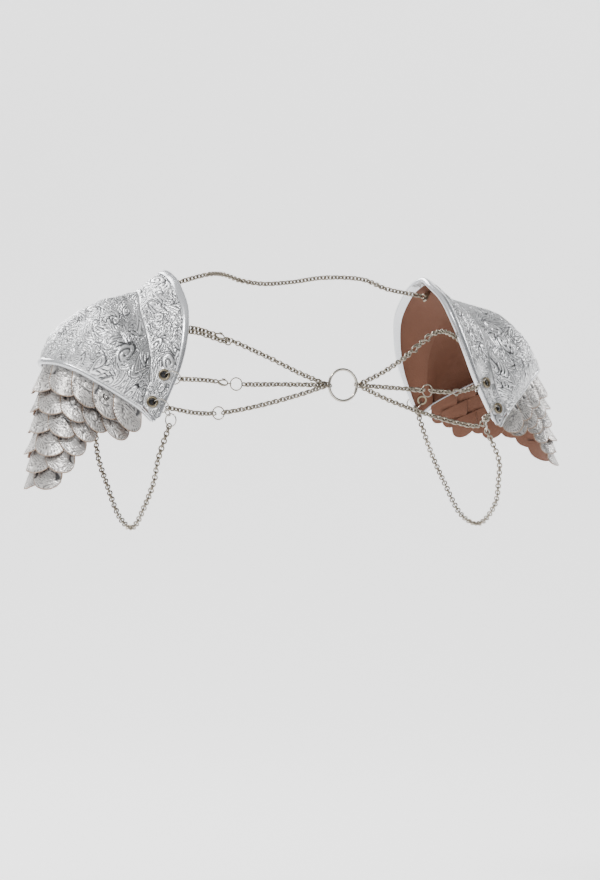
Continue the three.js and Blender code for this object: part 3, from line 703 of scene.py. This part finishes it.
def piping_shape(side):
    """Rolled rim: an oval, taller than it is thick, carried along the rim. Each of its points is
    centre + thick cos a . normal + tall sin a . across, and its lower edge is the CAD bead's."""
    t = np.linspace(0, 1, len(bead_points))
    _, across, _, normal = shell_frame(np.ones(t.size), t)
    fine = np.linspace(0, 1, piping_rings)
    across, normal = unit(catmull(across, fine)), unit(catmull(normal, fine))
    centre = catmull(bead_points, fine) - across * (rolled_tall - bead_radius)
    a = circle(piping_facets)
    grid = (centre[:, None] + rolled_thick * np.cos(a)[None, :, None] * normal[:, None]
            + rolled_tall * np.sin(a)[None, :, None] * across[:, None])
    return side_place(side, grid).reshape(-1, 3), tube_quads(len(fine), piping_facets)


bead_points = bead_line()
for side in sides:
    fold_nodes, rim_nodes = [f"{side}_neck_binding"], [f"{side}_rim_bead"]
    piece(f"{side}_neck_fold", [binding_shape(side)], binding_leather, fold_nodes)
    piece(f"{side}_rim_piping", [piping_shape(side)], binding_leather, rim_nodes)
print("binding and piping:", totals[-4:])

# %% [markdown]
# ## Scales
#
# Every petal hangs from the piping. At a mm across and d mm down it stands off by the row's parabola,
# leans a little so that it overlaps its neighbour, and curls at the tip. Scrolls are pressed into its
# middle, and rays that spread from its root across its hem. Its cut edge is tan and its back is brown.


# %% Petals
petal_columns, petal_rows, petal_back_columns = 38, 42, 9
# How far a petal's rounded corners lie above its tip, and how far one edge leans out
tip_round, petal_lean = 14.0, 1.9
# Rays: angle from one to the next and line width, and the distance between scroll seeds
ray_pitch, ray_width, petal_step = 0.17, 0.2, 17.0
# The outermost petals of each row but the first are cut shorter and set in
end_short, end_inset = 5.0, 1.5
# How dark the painted shade is where the row above, or the rim, covers a petal
painted_shade_dark = 0.42
upward = np.array([0, 0, 1.0])
bead_s, bead_place, bead_way = along_line(bead_points)
bead_out = unit(np.cross(bead_way, upward))


def petal(side, index, centre, short, rng):
    """Outer and inner grids of one petal, short mm shorter than its row, with groove and raw values."""
    lift_up, flare = sides[side][3:]
    tip = first_drop + index * row_pitch
    top = -1 if index == 0 else tip - scale_length
    next_top = tip + row_pitch - scale_length
    length = tip - top
    lift = (scale_wall + row_gap) * (length / (next_top - top)) ** 2
    shrink = 1 - lift_up / (first_drop + (len(scale_rows) - 1) * row_pitch)
    inset = bead_radius + row_gap + scale_wall
    width = petal_width - width_step * index
    across = np.sin(np.linspace(-math.pi / 2, math.pi / 2, petal_columns))[None, :]
    down = np.linspace(0, 1, petal_rows)[:, None] ** 0.8
    a = across * width / 2
    bottom = tip - short + rng.uniform(-1.2, 1.0) - tip_round * (1 - np.sqrt(1 - across**2))
    d = top + (bottom - top) * down
    s = np.clip(bead_s[-1] / 2 + centre + a + 0 * d, 0, bead_s[-1])
    out = unit(read_along(s, bead_s, bead_out))
    share = (d - top) / length
    lean = (petal_lean + rng.uniform(-0.5, 0.6)) * across * np.clip(2 * share, 0, 1)
    curl = rng.uniform(0.1, 1.6) * share**4 - 0.8 * across**2 * share
    off = flare * d - inset + lift * share**2 + lean + curl
    # Relief: scrolls in the middle, and rays from the root across the hem
    root = tip - rng.uniform(15, 19)
    ray = np.arctan2(a + rng.uniform(-2, 2), np.maximum(d - root, 1))
    rim = np.minimum(bottom - d, (1 - np.abs(across)) * width / 2)
    rays = line(ray / ray_pitch + 0.5 + 0.1 * np.sin(d / 2.1), ray_width)
    turn, deep = rng.uniform(0, 2 * math.pi), rng.uniform(4, 8)
    p = a * math.cos(turn) - d * math.sin(turn) + rng.uniform(-60, 60)
    q = a * math.sin(turn) + d * math.cos(turn) + 55
    scroll, _ = scrollwork(p, q, 31, petal_step)
    middle = np.clip((rim - deep) / 1.5, 0, 1)
    groove = np.maximum(scroll * middle, rays * (1 - middle)) * np.clip(rim / 1.2, 0, 1)
    raw = np.clip(1.5 - rim / 0.9, 0, 1)
    height = 0.5 * (1 - across**2) - 0.55 * groove - 0.3 * raw
    # Painted shade: darker where the row above, or the rim, covers the petal
    covered = 4.0 if index == 0 else tip - row_pitch + 2.5
    painted_shade = painted_shade_dark * np.clip((covered - d) / 4 + 0.5, 0, 1)
    # The painted shade joins the grooves and takes their grey; each petal also gets a random tone
    groove = np.clip(0.9 * np.maximum(groove, painted_shade) + rng.uniform(0, 0.16), 0, 1)
    base = read_along(s, bead_s, bead_place) - upward * (d * shrink)[..., None]
    inner = base + out * off[..., None]
    outer = inner + out * (petal_wall + height)[..., None]
    inner = fewer(inner, petal_back_columns)
    back = np.zeros(inner.size // 3)
    values = [np.concatenate([groove.ravel(), back]), np.concatenate([raw.ravel(), back + 2])]
    return wall_shape(side_place(side, outer), side_place(side, inner)), values


for side in sides:
    rng = np.random.default_rng(5 if side == "left" else 8)
    for index, (front, rear) in enumerate(scale_rows):
        shapes, groove, raw = [], [], []
        count = (front + rear) // 2
        for k in range(count):
            end = (k == 0) - (k == count - 1) if index else 0
            place_along = (k + 0.5 - front / 2) * scale_pitch + end_inset * end
            shape, values = petal(side, index, place_along, end_short * abs(end), rng)
            shapes.append(shape)
            groove.append(values[0])
            raw.append(values[1])
        values = {"groove": np.concatenate(groove), "raw": np.concatenate(raw)}
        row_node = f"{side}_scale_row_{index + 1}"
        piece(f"{side}_petals_{index + 1}", shapes, scale_leather, [row_node], values)
print("petals:", sum(totals[-12:]), "triangles")

# %% [markdown]
# ## Staple
#
# One scale is held by a small bent wire. Each of its bends is a distance along the rim, down and out.

# %% Staple
staple_along, staple_down, staple_out, staple_wire = -71.0, 8.0, 2.6, 0.45
bends = catmull([
    [-3.2, 0.2, 0.2], [-1.4, 0.4, 0.5], [-0.2, 2.2, 0.6],
    [2.0, 2.6, 0.6], [2.4, -0.6, 0.6], [1.4, -1.6, 0.4]], np.linspace(0, 1, 40))
s = bead_s[-1] / 2 + staple_along + bends[:, 0]
off = sides["right"][4] * staple_down - bead_radius - row_gap + staple_out + bends[:, 2]
wire = read_along(s, bead_s, bead_place) - upward * (staple_down + bends[:, 1])[:, None]
wire = wire + unit(read_along(s, bead_s, bead_out)) * off[:, None]
staple = tube_shape(side_place("right", wire), staple_wire, 8, np.array([1.0, 0, 0]))
piece("right_petal_staple", [staple], dark_wire, [])
print("staple:", totals[-1], "triangles")

# %% [markdown]
# ## Rings and eyelets
#
# The CAD rings say where each one sits: the middle of its box is the centre, and the direction in
# which its points spread least is the ring's axis. Round wires and rolled eyelets take their places.


# %% Metal rings
# Outer radius and the wire's radius, in mm
jump_ring, chest_ring = (7.4, 0.6), (15.0, 1.25)
small_rings = {
    "link_ring": (4.2, 0.6), "underarm_small_ring": (3.8, 0.55), "underarm_large_ring": (6.0, 0.55)}
eyelet_facets = 32


def ring_place(node):
    """Middle of the node's box and the main directions of its spread, of which the last is the axis."""
    points = node_points(node)
    centre = (points.min(0) + points.max(0)) / 2
    ways = np.linalg.svd(points - points.mean(0), full_matrices=False)[2]
    return centre, ways


def torus(centre, x, y, mean, wire, count=36, facets=12):
    """Circle of the mean radius in the plane of x and y, as a closed round tube."""
    a = circle(count)
    loop = centre + mean * (np.cos(a)[:, None] * x + np.sin(a)[:, None] * y)
    return tube_shape(loop, wire, facets, np.cross(x, y), closed=True)


def ring_piece(node, outer, wire, count=36):
    """A round wire ring in the place of a CAD ring."""
    centre, ways = ring_place(node)
    ring_sizes[node] = (outer, wire)
    shape = torus(centre, ways[0], ways[1], outer - wire, wire, count)
    piece(node + "_wire", [shape], ring_nickel, [node])


def eyelet_piece(node):
    """Rolled flange, barrel and washer: a closed outline (radius, height) turned about its axis."""
    centre, ways = ring_place(node)
    axis = ways[2] if (node_points(node).mean(0) - centre) @ ways[2] > 0 else -ways[2]
    points = node_points(node) - centre
    high = points @ axis
    radius = np.linalg.norm(points - np.outer(high, axis), axis=1)
    if radius[high > high.mean()].max() < radius[high <= high.mean()].max():
        axis, high = -axis, -high
    top, low = high.max(), high.min()
    outline = np.array([
        [3.1, low], [4.6, low], [4.6, low + 0.7], [3.7, low + 0.75], [3.7, top - 1.2], [5.2, top - 1.2],
        [5.15, top - 0.85], [4.8, top - 0.35], [4.3, top - 0.05], [3.8, top - 0.02], [3.35, top - 0.25],
        [3.1, top - 0.7]])
    a = circle(eyelet_facets)
    turn = np.cos(a)[:, None] * ways[0] + np.sin(a)[:, None] * np.cross(axis, ways[0])
    grid = centre + outline[None, :, :1] * turn[:, None] + outline[None, :, 1:] * axis
    shape = grid.reshape(-1, 3), grid_quads(eyelet_facets, len(outline), closed=True)
    piece(node + "_rolled", [shape], eyelet_nickel, [node])


ring_sizes = {}
for side in sides:
    for spot in ("front_upper", "front_lower", "rear"):
        ring_piece(f"{side}_ring_{spot}", *jump_ring)
        eyelet_piece(f"{side}_grommet_{spot}")
    for kind, (outer, wire) in small_rings.items():
        ring_piece(f"{side}_{kind}", outer, wire)
ring_piece("chest_o_ring", *chest_ring, 72)
for side in sides:
    for node in (f"{side}_hanger_strand", f"{side}_hanger_back"):
        bpy.data.objects[node].data.materials.clear()
        bpy.data.objects[node].data.materials.append(nickel)
print("rings and eyelets are in place")

# %% [markdown]
# ## Chains
#
# Each chain follows its CAD tube: the same route points between the tube's own two ends. One oval link
# is copied along it, each turned a quarter against the last, so that they hook together. A clasp or a
# loose ring takes the place of some links. Below the wearer's right upper chain hangs a spare length.

# %% Routes and links
routes = {
    "right_strand_upper": [[-112, -60, -46], [-70, -75, -65], [-43, -80, -78]],
    "right_strand_middle": [[-129, -73, -85], [-103, -77, -88], [-60, -80, -88]],
    "right_strand_lower": [[-140, -75, -113], [-120, -77, -113], [-89, -79, -108], [-48, -81, -98]],
    "left_strand_upper": [[108, -60, -39], [61, -77, -65], [39, -80, -77]],
    "left_strand_middle": [[118, -74, -93], [87, -78, -92], [50, -80, -90]],
    "left_strand_lower": [[142, -75, -123], [121, -77, -121], [82, -79, -112], [46, -81, -101]],
    "right_underarm_chain": [[-169, -60, -153], [-169, -52, -171], [-170, -37, -191], [-171, -12, -212],
        [-172, 12, -204], [-173, 38, -175], [-172, 62, -145]],
    "left_underarm_chain": [[172, -62, -155], [174, -58, -172], [178, -46, -194], [178, -18, -213],
        [176, 10, -206], [174, 38, -176], [173, 62, -146]],
    "back_chain": [[-108, 31, 4], [-80, 28, 12], [-52, 50, 14], [-26, 66, 10], [0, 71, 8], [26, 66, 10],
        [52, 50, 14], [80, 28, 12], [108, 31, 4]],
}
# What sits in a chest chain instead of links: distance from the middle and kind
fittings = {
    "right_strand_upper": [(110, "clasp")],
    "right_strand_middle": [(103, "ring"), (114, "clasp")],
    "right_strand_lower": [(120, "ring")],
    "left_strand_upper": [(77, "clasp"), (94, "clasp")],
    "left_strand_middle": [(87, "ring"), (119, "clasp")],
    "left_strand_lower": [(148, "clasp")],
}
# Half the length that a fitting takes, and a loose ring's mean and wire radius
fitting_half, loose_ring = {"clasp": 6.6, "ring": 5.2}, (5.4, 0.55)
# What a chest chain's outer end hangs on
holders = {"upper": "hanger_strand", "middle": "ring_front_upper", "lower": "ring_front_lower"}
# The spare length: from and to, by distance from the middle, and how far off the chain it hangs
spare_from, spare_to, spare_hang = 103, 138, np.array([0, -0.8, -3.4])
# Left free at each end of a chain
end_room = 0.3
link_steps, link_facets = 14, 6


def tube_end(node, near):
    """Middle of the tube's end nearest to a place: the mean of its eight nearest points."""
    points = node_points(node)
    order = np.argsort(np.linalg.norm(points - near, axis=1))[:8]
    return points[order].mean(0)


def hooked(node, ring):
    """A chain's end moved into a ring, so that the last link closes round the ring's wire."""
    outer, wire = ring_sizes[ring]
    centre, ways = ring_place(ring)
    way = tube_end(node, centre) - centre
    way = unit(way - ways[2] * (way @ ways[2]))
    return centre + way * (outer - 2 * wire - 2 * link_wire)


def chain_ends(node):
    """Both ends of a chain, moved into the rings that it hooks into."""
    side = node.split("_")[0]
    if "strand" in node:
        holder = f"{side}_{holders[node.split('_')[2]]}"
        free = holder.endswith("hanger_strand")
        first = tube_end(node, ring_place(holder)[0]) if free else hooked(node, holder)
        return first, hooked(node, f"{side}_link_ring")
    if "underarm" in node:
        return hooked(node, f"{side}_underarm_large_ring"), hooked(node, f"{side}_ring_rear")
    return [tube_end(node, ring_place(f"{name}_hanger_back")[0]) for name in sides]


def links_along(place, way, front, rng):
    """Oval loops at every place: x along the chain, y turned a quarter more for every next link."""
    n = len(place)
    side = unit(np.cross(way, front))
    up = np.cross(side, way)
    roll = math.radians(45) + np.arange(n) * math.pi / 2 + rng.uniform(-0.16, 0.16, n)
    y = np.cos(roll)[:, None] * side + np.sin(roll)[:, None] * up
    z = np.cross(way, y)
    a, b = circle(link_steps), circle(link_facets)
    cx, cy = (link_length / 2 - link_wire) * np.cos(a), (link_width / 2 - link_wire) * np.sin(a)
    nx, ny = np.cos(a), np.sin(a)
    local = np.stack([
        cx[:, None] + link_wire * np.cos(b) * nx[:, None],
        cy[:, None] + link_wire * np.cos(b) * ny[:, None],
        np.broadcast_to(link_wire * np.sin(b), (link_steps, link_facets))], -1).reshape(-1, 3)
    points = place[:, None] + np.einsum("pk,nkc->npc", local, np.stack([way, y, z], 1))
    one = grid_quads(link_steps, link_facets, closed=True)
    quads = (one[None] + (np.arange(n) * len(local))[:, None, None]).reshape(-1, 4)
    return points.reshape(-1, 3), quads


def clasp(centre, x, front):
    """Sprung hook: a long closed loop whose wire swells towards one end, a small end ring and a lever."""
    y = unit(np.cross(front, x))
    a = circle(40)
    beside = (2.1 + 0.5 * np.cos(a)) * np.sin(a)
    loop = centre - x + 4.3 * np.cos(a)[:, None] * x + beside[:, None] * y
    wire = 0.6 + 0.55 * (0.5 - 0.5 * np.cos(a - 0.9)) ** 2
    body = tube_shape(loop, wire, 10, np.cross(x, y), closed=True)
    eye = torus(centre + 4.9 * x, x, np.cross(x, y), 1.5, 0.45, 18, 8)
    lever = tube_shape(centre - x + np.linspace(-1.2, 2.0, 6)[:, None] * x + 3.2 * y, 0.45, 8, front)
    return [body, eye, lever]


for number, (node, route) in enumerate(routes.items()):
    side = node.split("_")[0]
    first, last = chain_ends(node)
    if node.endswith("strand_upper"):
        point, _, _, normal = shell_frame(np.array(0.0), np.array(0.25))
        under = side_place(side, point - normal * (wall + 3 * gap + binding_leg + chain_radius))
        route = np.vstack([under, route])
    s, place, way = along_line(np.vstack([first, route, last]))
    filled = s[-1] - 2 * end_room
    count = int(round(filled / link_pitch))
    middle = end_room + (np.arange(count) + 0.5) * filled / count
    centre, direction = read_along(middle, s, place), unit(read_along(middle, s, way))
    front = np.array([0, -1.0, 0]) if "strand" in node else np.array([1.0, 0, 0])
    if node == "back_chain":
        front = upward
    rng = np.random.default_rng(number)
    keep = np.ones(count, bool)
    shapes = []
    for reach, kind in fittings.get(node, []):
        at = np.argmin(np.abs(np.abs(place[:, 0]) - reach))
        keep &= np.abs(middle - s[at]) > fitting_half[kind] - 0.8
        forward = unit(front - way[at] * (front @ way[at]))
        if kind == "ring":
            shapes.append(torus(place[at], way[at], np.cross(forward, way[at]), *loose_ring, 32, 10))
        else:
            shapes += clasp(place[at], way[at], forward)
    if node == "right_strand_upper":
        spare = (np.abs(centre[:, 0]) > spare_from) & (np.abs(centre[:, 0]) < spare_to)
        shapes.append(links_along(centre[spare] + spare_hang, direction[spare], front, rng))
    shapes.insert(0, links_along(centre[keep], direction[keep], front, rng))
    piece(node + "_links", shapes, nickel, [node])
    print(node, round(float(s[-1]), 1), "mm,", int(keep.sum()), "links")

# %% [markdown]
# ## Studio
#
# The picture is taken level with the scales, a little from the wearer's right, in soft white light. The
# floor bends up into a back wall. The room is bright above and on the wearer's right and dimmer
# opposite, so that the foil has something to reflect.

# %% Camera, floor and lights
turned_right = math.radians(-28)
floor_level, floor_end, bend_radius, wall_top, floor_reach = -0.62, 1.6, 1.4, 1.9, 24
white, tree, shader = node_material("studio white", 0.0, 0.9)
shader.inputs["Base Color"].default_value = (0.95, 0.95, 0.95, 1)
shader.inputs["Emission Color"].default_value = (1, 1, 1, 1)
shader.inputs["Emission Strength"].default_value = 1.0
bend = np.linspace(0, math.pi / 2, 17)
rounded = np.stack([np.sin(bend), 1 - np.cos(bend)], 1) * bend_radius + [floor_end, floor_level]
profile = np.vstack([[-floor_reach, floor_level], rounded, [floor_end + bend_radius, wall_top]])
sweep_points = [(x, y, z) for x in (-floor_reach, floor_reach) for y, z in profile.tolist()]
n = len(profile)
sweep_mesh = bpy.data.meshes.new("sweep")
sweep_mesh.from_pydata(sweep_points, [], [(k, k + n, k + n + 1, k + 1) for k in range(n - 1)])
sweep_mesh.polygons.foreach_set("use_smooth", np.ones(n - 1, bool))
sweep_mesh.materials.append(white)
sweep = added("sweep", sweep_mesh)
sweep.rotation_euler = (0, 0, turned_right)

# The room's strength follows how far a direction points the bright way
world = bpy.data.worlds.new("studio")
world.use_nodes = True
nodes, links = world.node_tree.nodes, world.node_tree.links
way = nodes.new("ShaderNodeTexCoord")
lit = nodes.new("ShaderNodeVectorMath")
lit.operation = "DOT_PRODUCT"
lit.inputs[1].default_value = (-0.48, 0.0, 0.88)
ramp = nodes.new("ShaderNodeMapRange")
for socket, value in (("From Min", 0.2), ("From Max", 0.72), ("To Min", 0.2), ("To Max", 0.95)):
    ramp.inputs[socket].default_value = value
links.new(way.outputs["Generated"], lit.inputs[0])
links.new(lit.outputs["Value"], ramp.inputs["Value"])
links.new(ramp.outputs["Result"], nodes["Background"].inputs["Strength"])
nodes["Background"].inputs["Color"].default_value = (1, 1, 1, 1)
bpy.context.scene.world = world


def lamp(name, place, size, power):
    """A soft square light that looks at the object."""
    data = bpy.data.lights.new(name, "AREA")
    data.size = size
    data.energy = power
    made = added(name, data)
    made.location = place
    aim = np.array([0, 0, -0.1]) - np.array(place)
    made.rotation_euler = (
        math.acos(-aim[2] / np.linalg.norm(aim)), 0, math.atan2(aim[1], aim[0]) - math.pi / 2)


lamp("key", (-1.0, -1.2, 1.7), 0.3, 34)
lamp("side", (1.9, 0.1, 0.75), 0.3, 9)
lamp("back", (-0.5, 1.4, 1.35), 1.1, 46)

# In metres, but the sensor's height in mm. One of the picture's rows covers pixel at the shoulders
distance, level, picture_rows, pixel, sensor = 2.5, -0.136, 880, 0.0009, 36
camera_data = bpy.data.cameras.new("camera")
camera_data.sensor_fit = "VERTICAL"
camera_data.sensor_height = sensor
camera_data.lens = sensor * distance / (picture_rows * pixel)
camera = added("camera", camera_data)
camera.location = (distance * math.sin(turned_right), -distance * math.cos(turned_right), level)
camera.rotation_euler = (math.pi / 2, 0, turned_right)
bpy.context.scene.camera = camera
print("camera at", [round(v, 3) for v in camera.location])

# %% Measure and finish
print("triangles", sum(totals), "largest", max(totals))
